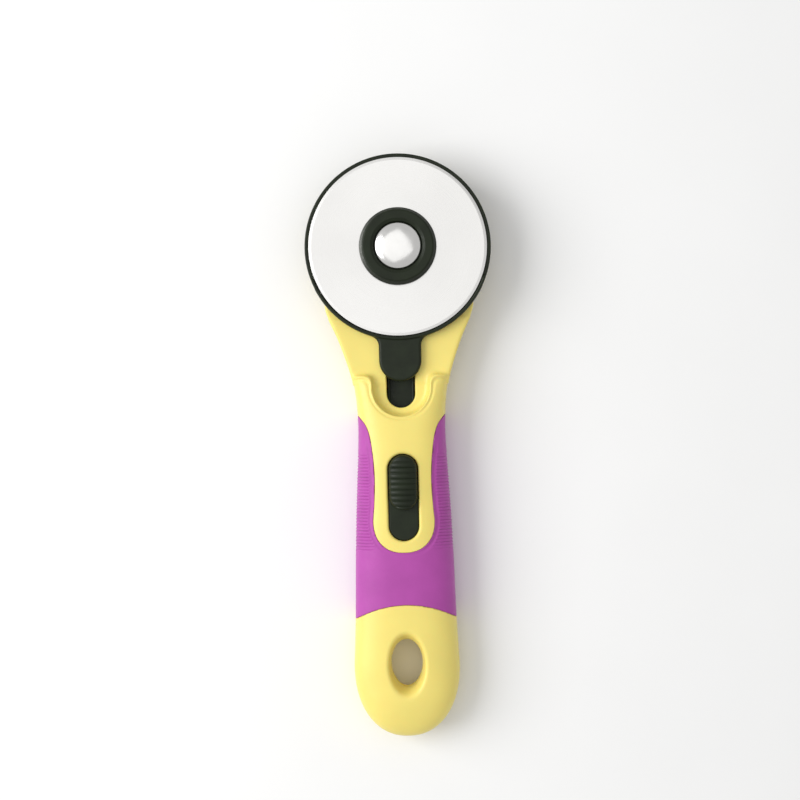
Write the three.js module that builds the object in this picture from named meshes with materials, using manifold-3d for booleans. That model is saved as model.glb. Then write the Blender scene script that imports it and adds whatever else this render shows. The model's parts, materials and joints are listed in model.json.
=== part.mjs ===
// Rotary cutter with a 60 mm blade, lying on its back.
// Millimetres: +X right, +Y along the handle towards the blade, +Z out of the blade's face.
// Places along the handle are given as s, the distance from the blade's centre towards the tail.

import * as THREE from 'three';
import { mergeVertices } from 'three/addons/utils/BufferGeometryUtils.js';
import Module from 'manifold-3d';

const wasm = await Module();
wasm.setup();

// ---------------------------------------------------------------- driving dimensions

const BLADE_R = 30;
const BLADE_T = 0.3;
const BLADE_BORE_R = 4;
const GUARD_R = 31.3;
const TAIL_END = 166; // s of the tail's tip
const BLADE_Y = (TAIL_END - GUARD_R) / 2; // the origin is midway along the whole length
const TRAVEL = 9; // of the guard and its thumb button
const GAP = 0.3; // between neighbouring solids

const SEAM_Z = 9; // where the front and rear shells meet
const PLATE_TOP = 14.5; // head plate, and floor of the guard's recess
const GUARD_Z = [14.8, 16.6];
const GUARD_RIM_TOP = 18;
const BLADE_Z = 17;
const COLLAR_Z = [17.6, 20.8];
const DOME_TOP = 22;
const BAR_Z = [10.2, 13];
const TRACK = { half: 4.85, flange: 6.2, bottom: 15.4, flangeTop: 16.4, top: 18.2 };
const STEM = { half: 1.6, top: 71.2, bottom: 76.9 };
const BAR = { half: 4.5, top: 36, bottom: 92 };
const BUTTON = { half: 4.8, top: 70, bottom: 88.4, high: 21.4, ribs: 9, pitch: 1.8 };

const WALL = 3.2; // deep enough to leave 1.4 behind the soft overmould
const HOLE_WALL = 2;
const GRIP_T = 1.5; // thickness of the soft overmould
const HEAD_ROUND = { from: 14, length: 33, half: 24.9, power: 2 };
const TAIL_ROUND = { from: 141.6, length: TAIL_END - 141.6, half: 17.95, power: 2.2 };
const TAIL_SLOPE = { from: 149, length: TAIL_END - 149, power: 2.4 };

const HANDLE_START = 24; // the back half begins under the head plate
const SHOULDER_S = 42.5; // where the handle's front rises from the head plate
const RECESS = { half: 9.2, bottom: 56.4 };
const SLOT = { half: 4.8, top: 35.7, bottom: 54.2 };
const TONGUE = { half: 7, end: 45.2 };
const WINDOW = { half: 5.1, top: 69.7, bottom: 98.9 };
const HOLE = { s: 141, throat: [5.3, 8.1], rim: [6.3, 10.7], flare: 8 };
const PANEL = { top: 55.5, roundFrom: 92, bottom: 102.8 };
const GRIP_TOP = 56.6; // on the front the panel's flared edge ends the grip just below this
const GRIP_ARC = { apex: 120.4, radius: 30.9 };

const BOLT = { headR: 7.8, shankR: 3.75, flat: 3, threadR: 2.85, bottom: 3 };
const COLLAR = { outer: 13, face: 11.5, pocket: 8.1 };
const BOSS_R = 8;
const NUT = { r: 11.6, lobe: 1, lobes: 8, z: [2.4, 9] };
const INSERT = { r: 5.6, z: [5.4, 8.6], bore: 3.2 };
const SCREW = { head: 2.5, shank: 1.1, length: 8.4 };
const SCREW_PLACES = [
  { x: -11, s: 38, z: 4.8 },
  { x: 11, s: 38, z: 4.8 },
  { x: -11.9, s: 129.5, z: 2 },
  { x: 11.9, s: 129.5, z: 2 },
];
const SPRING_S = 72; // the detent's first click

// ---------------------------------------------------------------- the handle's outline

// A smooth curve through a few [s, value] points.
function through(points) {
  const slope = points.map((p, i) => {
    const a = points[Math.max(i - 1, 0)];
    const b = points[Math.min(i + 1, points.length - 1)];
    return (b[1] - a[1]) / (b[0] - a[0]);
  });
  return (s) => {
    const last = points.length - 2;
    const i = Math.min(Math.max(points.findIndex((p) => p[0] > s) - 1, 0), last);
    const k = s >= points[last + 1][0] ? last : i;
    const [s0, v0] = points[k];
    const [s1, v1] = points[k + 1];
    const h = s1 - s0;
    const t = THREE.MathUtils.clamp((s - s0) / h, 0, 1);
    const rest = 1 - t;
    return v0 * (1 + 2 * t) * rest * rest + v1 * t * t * (3 - 2 * t)
      + h * t * rest * (slope[k] * rest - slope[k + 1] * t);
  };
}

// Falls from 1 to 0 over a rounded end.
function roundEnd(distance, { length, power }) {
  const share = THREE.MathUtils.clamp(distance / length, 0, 1);
  return (1 - share ** power) ** (1 / power);
}

const sideLine = through([
  [14, 24.9], [18, 25.2], [22, 24.6], [30, 21.1], [36, 18.9], [43, 16.7], [50, 15.4],
  [57, 14.9], [65, 14.9], [78, 15.6], [90, 16.2], [105, 16.7], [125, 17.2], [141.6, 17.95],
]);
const frontLine = through([
  [24, 17.4], [43.5, 17.6], [50, 18.1], [60, 18.8], [75, 19.2], [100, 19], [125, 18], [149, 16.9],
]);
const rearLine = through([[24, 8.4], [30, 7.4], [36, 5], [44, 1.6], [52, -0.5], [60, -0.8], [149, -0.8]]);
const frontPower = through([[30, 5], [43, 4.5], [60, 3], [80, 2.5], [165, 2.4]]);
const REAR_POWER = 2.8;

function halfWidth(s) {
  if (s < HEAD_ROUND.from) return HEAD_ROUND.half * roundEnd(HEAD_ROUND.from - s, HEAD_ROUND);
  if (s > TAIL_ROUND.from) return TAIL_ROUND.half * roundEnd(s - TAIL_ROUND.from, TAIL_ROUND);
  return sideLine(s);
}

function slopeAtTail(s) {
  return s > TAIL_SLOPE.from ? roundEnd(s - TAIL_SLOPE.from, TAIL_SLOPE) : 1;
}

const frontHeight = (s) => (frontLine(s) - SEAM_Z) * slopeAtTail(s);
const rearHeight = (s) => (SEAM_Z - rearLine(s)) * slopeAtTail(s);

// ---------------------------------------------------------------- solids

const along = (s) => BLADE_Y - s;

function solid(geometry) {
  geometry.deleteAttribute('normal');
  geometry.deleteAttribute('uv');
  const merged = mergeVertices(geometry, 1e-4);
  return new wasm.Manifold(new wasm.Mesh({
    numProp: 3,
    vertProperties: new Float32Array(merged.attributes.position.array),
    triVerts: new Uint32Array(merged.index.array),
  }));
}

function join(...solids) {
  return solids.reduce((a, b) => a.add(b));
}

function cut(body, ...tools) {
  return tools.reduce((a, b) => a.subtract(b), body);
}

// A skin over rings of equal length, closed at both ends.
function skin(rings) {
  const count = rings[0].length;
  const middle = (ring) => ring.reduce((a, p) => a.add(p), new THREE.Vector3()).divideScalar(count);
  const points = [...rings.flat(), middle(rings[0]), middle(rings[rings.length - 1])];
  const first = points.length - 2;
  const top = (rings.length - 1) * count;
  const index = [];
  for (let j = 0; j < count; j += 1) {
    const k = (j + 1) % count;
    for (let i = 0; i < rings.length - 1; i += 1) {
      const a = i * count;
      const b = a + count;
      index.push(a + j, a + k, b + k, a + j, b + k, b + j);
    }
    index.push(first, k, j, first + 1, top + j, top + k);
  }
  const geometry = new THREE.BufferGeometry().setFromPoints(points);
  geometry.setIndex(index);
  const made = solid(geometry);
  if (made.volume() > 0) return made;
  geometry.setIndex(index.reverse());
  return solid(geometry);
}

function prism(shape, low, high, bevel = 0) {
  const geometry = new THREE.ExtrudeGeometry(shape, {
    depth: high - low - 2 * bevel,
    bevelEnabled: bevel > 0,
    bevelThickness: bevel,
    bevelSize: bevel,
    bevelOffset: -bevel,
    bevelSegments: 1,
    curveSegments: 10,
  });
  geometry.translate(0, 0, low + bevel);
  return solid(geometry);
}

function box(x0, x1, s0, s1, z0, z1) {
  const geometry = new THREE.BoxGeometry(x1 - x0, s1 - s0, z1 - z0);
  geometry.translate((x0 + x1) / 2, along((s0 + s1) / 2), (z0 + z1) / 2);
  return solid(geometry);
}

// A solid of revolution about a Z axis at (x, s), from [radius, z] points.
function turned(profile, x = 0, s = 0, steps = 48) {
  const geometry = new THREE.LatheGeometry(profile.map(([r, z]) => new THREE.Vector2(r, z)), steps);
  geometry.rotateX(Math.PI / 2);
  geometry.translate(x, along(s), 0);
  return solid(geometry);
}

function rod(r, z0, z1, x = 0, s = 0, steps = 16) {
  return turned([[0, z0], [r, z0], [r, z1], [0, z1]], x, s, steps);
}

function washer(inner, outer, z0, z1, steps = 48) {
  return turned([[inner, z0], [outer, z0], [outer, z1], [inner, z1], [inner, z0]], 0, 0, steps);
}

// ---------------------------------------------------------------- outlines in plan

function stadium(half, s0, s1) {
  const shape = new THREE.Shape();
  shape.moveTo(half, along(s1 - half));
  shape.lineTo(half, along(s0 + half));
  shape.absarc(0, along(s0 + half), half, 0, Math.PI);
  shape.lineTo(-half, along(s1 - half));
  shape.absarc(0, along(s1 - half), half, Math.PI, 2 * Math.PI);
  return shape;
}

// The outline between two s values, both sides set by a half-width function.
function outline(half, s0, s1, steps) {
  const side = [];
  for (let i = 0; i <= steps; i += 1) {
    const t = (1 - Math.cos((Math.PI * i) / steps)) / 2;
    const s = s0 + (s1 - s0) * t;
    side.push([half(s), along(s)]);
  }
  const points = side.map(([x, y]) => new THREE.Vector2(x, y));
  const back = side.reverse().map(([x, y]) => new THREE.Vector2(-x, y));
  return new THREE.Shape([...points, ...back].filter((p, i, all) => (
    i === 0 || p.distanceTo(all[i - 1]) > 0.01) && (i === 0 || p.distanceTo(all[0]) > 0.01)));
}

const panelLine = through([
  [PANEL.top, 15.8], [57.5, 13.9], [60, 12.1], [63, 11], [67, 10.3], [74, 9.6], [80, 9.5], [86, 9.8],
  [PANEL.roundFrom, 10.3],
]);

function panelHalf(s) {
  const end = { length: PANEL.bottom - PANEL.roundFrom, power: 2.3 };
  return s > PANEL.roundFrom ? 10.3 * roundEnd(s - PANEL.roundFrom, end) : panelLine(s);
}

// The band of the handle that the soft grip covers, grown by a margin all round.
function gripBand(margin) {
  const side = 24;
  const shape = new THREE.Shape();
  shape.moveTo(-side, along(GRIP_TOP) + margin);
  shape.lineTo(side, along(GRIP_TOP) + margin);
  const centre = along(GRIP_ARC.apex + GRIP_ARC.radius);
  const radius = GRIP_ARC.radius - margin;
  const reach = Math.acos(side / radius);
  shape.absarc(0, centre, radius, reach, Math.PI - reach);
  return shape;
}

// ---------------------------------------------------------------- the handle's body

const RING_HALF = 11; // points on each half of a section

function section(s, inset) {
  const w = Math.max(halfWidth(s) - inset, 0.4);
  const up = Math.max(frontHeight(s) - inset, 0.3);
  const down = Math.max(rearHeight(s) - inset, 0.3);
  const ring = [];
  for (let i = 0; i < 2 * RING_HALF; i += 1) {
    const angle = (Math.PI * i) / RING_HALF;
    const front = i <= RING_HALF;
    const power = 2 / (front ? frontPower(s) : REAR_POWER);
    const c = Math.cos(angle);
    const h = Math.abs(Math.sin(angle)) ** power;
    const x = w * Math.sign(c) * Math.abs(c) ** power;
    ring.push(new THREE.Vector3(x, along(s), SEAM_Z + (front ? up : -down) * h));
  }
  return ring;
}

// The rounded handle between two s values, inset from its true surface.
function handleBody(inset, s0, s1) {
  const stations = [30, 36, 42, 48, 55, 63, 74, 88, 104, 120, 134, 144, 150, 155, 159, 162, 163.8];
  const inside = stations.filter((s) => s > s0 + 1 && s < s1 - 0.3);
  return skin([s0, ...inside, s1].map((s) => section(s, inset)));
}

const everywhere = (z0, z1) => box(-40, 40, -40, 180, z0, z1);
const frontSpace = everywhere(SEAM_Z + GAP / 2, 40);
const rearSpace = everywhere(0, SEAM_Z - GAP / 2);

function tailHole(grow) {
  const steps = 4;
  const rings = [];
  const level = (z, share) => {
    const a = HOLE.throat[0] + (HOLE.rim[0] - HOLE.throat[0]) * share + grow;
    const b = HOLE.throat[1] + (HOLE.rim[1] - HOLE.throat[1]) * share + grow;
    const ellipse = new THREE.EllipseCurve(0, along(HOLE.s), a, b);
    rings.push(ellipse.getPoints(28).slice(0, 28).map((p) => new THREE.Vector3(p.x, p.y, z)));
  };
  const front = frontLine(HOLE.s) + 0.2;
  const flareTo = (t) => (1 - t) ** 2;
  level(-1, 1.15);
  for (let i = 0; i <= steps; i += 1) level((HOLE.flare * i) / steps, flareTo(i / steps));
  for (let i = steps; i >= 0; i -= 1) level(front - (HOLE.flare * i) / steps, flareTo(i / steps));
  level(front + 2, 1.15);
  return skin(rings);
}

// Screw bosses: columns through the hollow of both shells.
function bosses(z0, z1) {
  return join(...SCREW_PLACES.map(({ x, s }) => rod(3.4, z0, z1, x, s)));
}

function hollow() {
  const whole = handleBody(WALL, 33.5, 161);
  const neck = box(-30, 30, 0, 47, SEAM_Z, 30);
  const recess = prism(stadium(RECESS.half + 1.6, 20, RECESS.bottom + 1.6), PLATE_TOP - 1.2, 30);
  return cut(whole, neck, recess, tailHole(HOLE_WALL), bosses(-2, 30));
}

// ---------------------------------------------------------------- shells and grips

function headPlate() {
  const plan = outline(halfWidth, HEAD_ROUND.from - HEAD_ROUND.length, SHOULDER_S + 4, 40);
  return join(
    prism(plan, SEAM_Z + GAP / 2, PLATE_TOP, 0.8),
    rod(BOSS_R, PLATE_TOP - 1, BLADE_Z - GAP, 0, 0, 36),
  );
}

// The slider track's flange, under the panel.
function trackFlange(margin) {
  return stadium(TRACK.flange + margin, WINDOW.top - 1.1 - margin, WINDOW.bottom + 1.1 + margin);
}

// The hole that keys the bolt: round with two flats.
function keyedRod(r, flat, z0, z1) {
  return rod(r, z0, z1, 0, 0, 32).intersect(box(-flat, flat, -r, r, z0, z1));
}

function gripSkin(margin, inset) {
  const band = prism(gripBand(margin), -5, 40);
  const core = handleBody(inset, 50, 130);
  return cut(band, core);
}

function frontPanel(margin) {
  const half = (s) => Math.max(panelHalf(s) + margin, 0.01);
  return prism(outline(half, 48, PANEL.bottom + margin, 36), SEAM_Z, 40);
}

function frontShell() {
  const shoulderCut = box(-40, 40, 0, SHOULDER_S, PLATE_TOP, 40);
  const recess = prism(stadium(RECESS.half, 20, RECESS.bottom), PLATE_TOP, 40);
  const body = join(
    cut(handleBody(0, HANDLE_START, TAIL_END - 0.05).intersect(frontSpace), shoulderCut, recess),
    headPlate(),
  );
  const gripPocket = cut(gripSkin(GAP, GRIP_T + GAP), frontPanel(-GAP));
  return cut(
    body,
    hollow().intersect(frontSpace),
    gripPocket,
    tailHole(0),
    prism(stadium(SLOT.half, SLOT.top, SLOT.bottom), 0, 40),
    box(-SLOT.half, SLOT.half, SLOT.top, SLOT.top + SLOT.half, 0, 40),
    prism(stadium(WINDOW.half, WINDOW.top, WINDOW.bottom), SEAM_Z, 40),
    prism(trackFlange(GAP), SEAM_Z, TRACK.flangeTop + GAP),
    rod(9.6, 0, 11.6, 0, 0, 36),
    keyedRod(4.05, 3.3, 0, 40),
    ...SCREW_PLACES.map(({ x, s, z }) => rod(SCREW.shank + GAP, 0, z + SCREW.length + 0.6, x, s)),
  );
}

function rearShell() {
  const nutRoom = rod(29.5, -1, SEAM_Z, 0, 0, 48);
  const body = cut(handleBody(0, HANDLE_START, TAIL_END - 0.05).intersect(rearSpace), nutRoom);
  const floor = box(-4.5, 4.5, 60, 84, 0, 7.2);
  const hollowed = cut(body, cut(hollow(), floor));
  const counterbores = SCREW_PLACES.map(({ x, s, z }) => rod(SCREW.head + GAP, -2, z + 1.5 + GAP, x, s));
  const shafts = SCREW_PLACES.map(({ x, s }) => rod(SCREW.shank + GAP, -2, 30, x, s));
  return cut(
    hollowed,
    gripSkin(GAP, GRIP_T + GAP),
    tailHole(0),
    box(-4.8, 4.8, 35.7, 60, 8, SEAM_Z),
    ...counterbores,
    ...shafts,
  );
}

function frontGrip() {
  const skinned = gripSkin(0, GRIP_T).intersect(handleBody(0, 50, 135)).intersect(frontSpace);
  return cut(skinned, frontPanel(0));
}

function rearGrip() {
  return gripSkin(0, GRIP_T).intersect(handleBody(0, 50, 135)).intersect(rearSpace);
}

function caseScrew({ x, s, z }) {
  const cross = join(box(x - 1.5, x + 1.5, s - 0.35, s + 0.35, z - 1, z + 0.9),
    box(x - 0.35, x + 0.35, s - 1.6, s + 1.6, z - 1, z + 0.9));
  const profile = [
    [0, z], [SCREW.head - 0.5, z], [SCREW.head, z + 0.6], [SCREW.head, z + 1.5],
    [SCREW.shank, z + 1.5], [SCREW.shank, z + SCREW.length - 1], [0, z + SCREW.length],
  ];
  return cut(turned(profile, x, s, 14), cross);
}

// A bent leaf that springs into a notch under the slide bar.
function detentSpring() {
  const line = [[-12, 7.6], [-5, 7.9], [-1.7, 9.3], [-0.6, 10.5], [0.6, 10.5], [1.7, 9.3], [5, 7.9], [12, 7.6]];
  const thick = 0.4;
  const shape = new THREE.Shape([
    ...line.map(([d, z]) => new THREE.Vector2(d, z)),
    ...line.map(([d, z]) => new THREE.Vector2(d, z + thick)).reverse(),
  ]);
  const geometry = new THREE.ExtrudeGeometry(shape, { depth: 6, bevelEnabled: false });
  geometry.translate(0, 0, -3);
  geometry.rotateX(Math.PI / 2);
  geometry.rotateZ(Math.PI / 2);
  geometry.translate(0, along(SPRING_S), 0);
  return solid(geometry);
}

// ---------------------------------------------------------------- guard, bar and button

const guardScrews = [39, 43];

function bladeGuard() {
  const inner = BLADE_R + 0.35;
  const rimStart = THREE.MathUtils.degToRad(21);
  const wedge = new THREE.Shape();
  const reach = 60;
  wedge.moveTo(0, BLADE_Y);
  wedge.absarc(0, BLADE_Y, reach, Math.PI + rimStart, 2 * Math.PI - rimStart);
  const rim = turned([
    [inner, GUARD_Z[0] + 0.5], [GUARD_R, GUARD_Z[0] + 0.5], [GUARD_R, GUARD_RIM_TOP - 0.3],
    [GUARD_R - 0.3, GUARD_RIM_TOP], [inner + 0.2, GUARD_RIM_TOP], [inner, GUARD_RIM_TOP - 0.2],
    [inner, GUARD_Z[0] + 0.5],
  ], 0, 0, 72).intersect(prism(wedge, 0, 40));
  const disc = turned([
    [0, GUARD_Z[0]], [GUARD_R - 0.3, GUARD_Z[0]], [GUARD_R, GUARD_Z[0] + 0.3],
    [GUARD_R, GUARD_Z[1] - 0.3], [GUARD_R - 0.3, GUARD_Z[1]], [0, GUARD_Z[1]],
  ], 0, 0, 72);
  const tongue = cut(
    prism(stadium(TONGUE.half, 14, TONGUE.end), GUARD_Z[0], 17.4, 0.4),
    rod(BLADE_R + 0.35, GUARD_Z[1], 40, 0, 0, 72),
  );
  const slot = BOSS_R + GAP;
  return cut(
    join(disc, rim, tongue),
    prism(stadium(slot, -slot - TRAVEL, slot), 0, 40),
    ...guardScrews.map((s) => rod(0.8 + GAP, 0, 16.6, 0, s, 16)),
  );
}

function slideBar() {
  const roundFoot = prism(stadium(BAR.half, 20, TONGUE.end - GAP), BAR_Z[0], GUARD_Z[0] - GAP);
  const post = roundFoot.intersect(box(-BAR.half, BAR.half, BAR.top + 1, TONGUE.end, 0, 40));
  const bar = prism(stadium(BAR.half, BAR.top, BAR.bottom), BAR_Z[0], BAR_Z[1]);
  const notch = (s) => {
    const dent = new THREE.CylinderGeometry(0.5, 2.1, 1.3, 4, 1, false, Math.PI / 4);
    dent.rotateX(Math.PI / 2);
    dent.translate(0, along(s), BAR_Z[0] + 0.45);
    return solid(dent).add(box(-3.3, 3.3, s - 1.5, s + 1.5, BAR_Z[0] - 1, BAR_Z[0] + 0.9));
  };
  return cut(
    join(post, bar),
    notch(SPRING_S),
    notch(SPRING_S - TRAVEL),
    ...guardScrews.map((s) => rod(0.8 + GAP, 0, 20, 0, s, 16)),
    ...guardScrews.map((s) => rod(1.6 + GAP, 0, BAR_Z[0] + 1.2, 0, s, 16)),
    box(-1.6, 1.6, STEM.top + 0.7, STEM.bottom - 0.7, 11.5, 20),
  );
}

// The plate that the thumb button slides on, with a slot for the button's stem.
function sliderTrack() {
  const flange = prism(trackFlange(0), TRACK.bottom, TRACK.flangeTop);
  const plate = prism(
    stadium(TRACK.half, WINDOW.top + 0.25, WINDOW.bottom - 0.25), TRACK.bottom, TRACK.top, 0.2);
  const slot = box(
    -STEM.half - GAP, STEM.half + GAP, STEM.top - GAP, STEM.bottom + TRAVEL + GAP, 0, 40);
  return cut(join(flange, plate), slot);
}

function guardScrew(s) {
  const head = BAR_Z[0] + 1.2 - GAP;
  return turned([[0, head - 0.9], [1.6, head - 0.9], [1.6, head], [0.8, head], [0.8, 16], [0, 16.3]], 0, s, 16);
}

function thumbButton() {
  const base = TRACK.top + GAP;
  const block = prism(stadium(BUTTON.half, BUTTON.top, BUTTON.bottom), base, BUTTON.high, 0.5);
  const crown = new THREE.CylinderGeometry(9, 9, 40, 48);
  crown.translate(0, along(80), BUTTON.high - 9);
  const grooves = [];
  for (let i = 0; i < BUTTON.ribs; i += 1) {
    const s = BUTTON.top + 2.2 + i * BUTTON.pitch;
    grooves.push(box(-6, 6, s - 0.35, s + 0.35, BUTTON.high - 0.5, BUTTON.high + 1));
  }
  const stem = box(-STEM.half, STEM.half, STEM.top, STEM.bottom, BAR_Z[1] + GAP, base + 1);
  const key = box(-1.3, 1.3, STEM.top + 1, STEM.bottom - 1, 11.8, BAR_Z[1] + 1);
  return join(cut(block.intersect(solid(crown)), ...grooves), stem, key);
}

// ---------------------------------------------------------------- blade, bolt, washers and nut

function blade() {
  const low = BLADE_Z;
  const high = BLADE_Z + BLADE_T;
  const edge = (low + high) / 2;
  return turned([
    [BLADE_BORE_R, low], [BLADE_R - 0.9, low], [BLADE_R, edge], [BLADE_R - 0.9, high],
    [BLADE_BORE_R, high], [BLADE_BORE_R, low],
  ], 0, 0, 72);
}

function boltCollar() {
  const [low, high] = COLLAR_Z;
  return turned([
    [BLADE_BORE_R, low], [COLLAR.outer - 0.4, low], [COLLAR.outer, low + 0.4],
    [COLLAR.face + 0.4, high - 0.5], [COLLAR.face - 0.3, high], [COLLAR.pocket + 0.3, high],
    [COLLAR.pocket, high - 0.4], [COLLAR.pocket, low + 1.4], [BLADE_BORE_R, low + 1.4],
    [BLADE_BORE_R, low],
  ], 0, 0, 48);
}

function pivotBolt() {
  const seat = COLLAR_Z[0] + 1.4 + GAP;
  const wallTop = COLLAR_Z[1] - 0.7;
  const rise = DOME_TOP - wallTop;
  const dome = [];
  for (let i = 0; i <= 6; i += 1) {
    const angle = (Math.PI * i) / 12;
    dome.push([BOLT.headR * Math.cos(angle), wallTop + rise * Math.sin(angle)]);
  }
  dome[dome.length - 1][0] = 0;
  const keyTop = BLADE_Z - GAP;
  const round = turned([[0, keyTop], [BOLT.shankR, keyTop], [BOLT.shankR, seat], [BOLT.headR, seat], ...dome]);
  const keyed = keyedRod(BOLT.shankR, BOLT.flat, 11, keyTop + 0.1);
  const thread = turned([
    [0, BOLT.bottom], [BOLT.threadR - 0.5, BOLT.bottom], [BOLT.threadR, BOLT.bottom + 0.5],
    [BOLT.threadR, 11.1], [0, 11.1],
  ], 0, 0, 32);
  return join(round, keyed, thread);
}

// A ring bent into three waves.
function waveWasher() {
  const [inner, outer, low, thick, wave] = [4.4, 8.6, 10.6, 0.4, 0.3];
  const rings = [];
  const steps = 48;
  for (let i = 0; i < steps; i += 1) {
    const angle = (2 * Math.PI * i) / steps;
    const z = low + wave * Math.sin(3 * angle);
    const at = (r, h) => new THREE.Vector3(r * Math.cos(angle), BLADE_Y + r * Math.sin(angle), h);
    rings.push([at(inner, z), at(outer, z), at(outer, z + thick), at(inner, z + thick)]);
  }
  return loop(rings);
}

// A closed tube through rings that come back to the first.
function loop(rings) {
  const count = rings[0].length;
  const index = [];
  rings.forEach((ring, i) => {
    const a = i * count;
    const b = ((i + 1) % rings.length) * count;
    for (let j = 0; j < count; j += 1) {
      const k = (j + 1) % count;
      index.push(a + j, a + k, b + k, a + j, b + k, b + j);
    }
  });
  const geometry = new THREE.BufferGeometry().setFromPoints(rings.flat());
  geometry.setIndex(index);
  const made = solid(geometry);
  if (made.volume() > 0) return made;
  geometry.setIndex(index.reverse());
  return solid(geometry);
}

function tensionNut() {
  const points = [];
  const steps = 64;
  for (let i = 0; i < steps; i += 1) {
    const angle = (2 * Math.PI * i) / steps;
    const r = NUT.r + NUT.lobe * Math.cos(NUT.lobes * angle);
    points.push(new THREE.Vector2(r * Math.cos(angle), BLADE_Y + r * Math.sin(angle)));
  }
  const pocket = new THREE.CylinderGeometry(INSERT.r + GAP, INSERT.r + GAP, 8, 6);
  pocket.rotateX(Math.PI / 2);
  pocket.translate(0, BLADE_Y, INSERT.z[0] - GAP + 4);
  return cut(prism(new THREE.Shape(points), ...NUT.z, 0.8), solid(pocket), rod(4.2, 0, 20, 0, 0, 32));
}

function nutInsert() {
  const height = INSERT.z[1] - INSERT.z[0];
  const hex = new THREE.CylinderGeometry(INSERT.r, INSERT.r, height, 6);
  hex.rotateX(Math.PI / 2);
  hex.translate(0, BLADE_Y, INSERT.z[0] + height / 2);
  return cut(solid(hex), rod(INSERT.bore, 0, 20, 0, 0, 32));
}

// ---------------------------------------------------------------- materials and nodes

const finish = (color, roughness, metalness = 0) => (
  new THREE.MeshStandardMaterial({ color, roughness, metalness }));

const yellow = finish(0xf3df8a, 0.42);
const violet = finish(0x9a4a9c, 0.6);
const black = finish(0x1d1e20, 0.45);
const steel = finish(0xd8d8d6, 0.22, 1);
const chrome = finish(0xf2f2f2, 0.06, 1);
const zinc = finish(0xb9babc, 0.35, 1);
const brass = finish(0xc9a24d, 0.3, 1);

const cutter = new THREE.Group();

function add(name, body, material) {
  const { vertProperties, triVerts } = body.getMesh();
  const geometry = new THREE.BufferGeometry();
  geometry.setAttribute('position', new THREE.BufferAttribute(vertProperties, 3));
  geometry.setIndex(new THREE.BufferAttribute(triVerts, 1));
  geometry.computeVertexNormals();
  const mesh = new THREE.Mesh(geometry, material);
  mesh.name = name;
  cutter.add(mesh);
}

add('front_shell', frontShell(), yellow);
add('rear_shell', rearShell(), yellow);
add('front_grip', frontGrip(), violet);
add('rear_grip', rearGrip(), violet);
SCREW_PLACES.forEach((place, i) => add(`case_screw_${i + 1}`, caseScrew(place), zinc));
add('detent_spring', detentSpring(), steel);
add('blade_guard', bladeGuard(), black);
add('slide_bar', slideBar(), black);
add('slider_track', sliderTrack(), black);
add('thumb_button', thumbButton(), black);
guardScrews.forEach((s, i) => add(`guard_screw_${i + 1}`, guardScrew(s), zinc));
add('blade', blade(), steel);
add('bolt_collar', boltCollar(), black);
add('pivot_bolt', pivotBolt(), chrome);
add('wave_washer', waveWasher(), steel);
add('flat_washer', washer(3.3, 9, 9.3, 10), zinc);
add('tension_nut', tensionNut(), black);
add('nut_insert', nutInsert(), brass);

export default cutter;
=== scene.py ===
"""The looks of a rotary cutter with a 60 mm blade, lying on its back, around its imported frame.

Shapes are signed-distance fields in millimetres: x runs right, s from the blade's centre towards the
tail, and z out of the blade's face. A field is negative inside, and its zero surface is meshed.
"""

import json
import math
from types import SimpleNamespace

import bpy
import numpy as np
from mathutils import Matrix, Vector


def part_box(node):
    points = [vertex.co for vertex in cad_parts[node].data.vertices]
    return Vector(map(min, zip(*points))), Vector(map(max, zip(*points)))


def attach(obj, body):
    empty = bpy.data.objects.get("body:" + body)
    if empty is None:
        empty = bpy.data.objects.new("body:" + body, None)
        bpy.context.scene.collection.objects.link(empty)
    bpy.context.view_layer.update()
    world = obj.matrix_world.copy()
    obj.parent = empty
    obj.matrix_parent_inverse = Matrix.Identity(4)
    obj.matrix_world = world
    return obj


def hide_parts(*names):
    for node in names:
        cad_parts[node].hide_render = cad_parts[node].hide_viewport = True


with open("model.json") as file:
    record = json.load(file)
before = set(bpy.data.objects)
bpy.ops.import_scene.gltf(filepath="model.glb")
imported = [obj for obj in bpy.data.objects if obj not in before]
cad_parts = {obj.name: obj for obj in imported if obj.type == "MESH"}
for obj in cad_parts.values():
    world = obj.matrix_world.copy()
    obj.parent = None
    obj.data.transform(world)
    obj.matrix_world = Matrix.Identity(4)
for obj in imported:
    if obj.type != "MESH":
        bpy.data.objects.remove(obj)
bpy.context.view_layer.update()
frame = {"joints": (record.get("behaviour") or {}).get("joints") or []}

# ---------------------------------------------------------------- sizes from the frame

MM = 0.001
BLADE_Y = sum(corner[1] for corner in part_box("blade")) / 2 / MM


def span(node):
    """A CAD node's box in millimetres: its x, s and z ranges, and its middle seen from the front."""
    low, high = (np.array(corner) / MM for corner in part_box(node))
    x, s = (low[0], high[0]), (BLADE_Y - high[1], BLADE_Y - low[1])
    return SimpleNamespace(x=x, s=s, z=(low[2], high[2]), middle=(sum(x) / 2, sum(s) / 2))


FRONT = span("front_shell")
REAR = span("rear_shell")
FRONT_GRIP = span("front_grip")
GUARD = span("blade_guard")
BLADE = span("blade")
COLLAR = span("bolt_collar")
BOLT = span("pivot_bolt")
WAVE = span("wave_washer")
WASHER = span("flat_washer")
NUT = span("tension_nut")
INSERT = span("nut_insert")
BAR = span("slide_bar")
TRACK = span("slider_track")
BUTTON = span("thumb_button")
SPRING = span("detent_spring")
CASE_SCREWS = [span(f"case_screw_{i}") for i in range(1, 5)]
GUARD_SCREWS = [span(f"guard_screw_{i}") for i in range(1, 3)]

SEAM_Z = (FRONT.z[0] + REAR.z[1]) / 2
TAIL_END = FRONT.s[1]
GUARD_R = GUARD.x[1]
TRAVEL = next(j for j in frame["joints"] if j["name"] == "guard_slide")["range_m"][1] / MM

# ---------------------------------------------------------------- sizes of the moulded shapes

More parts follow.
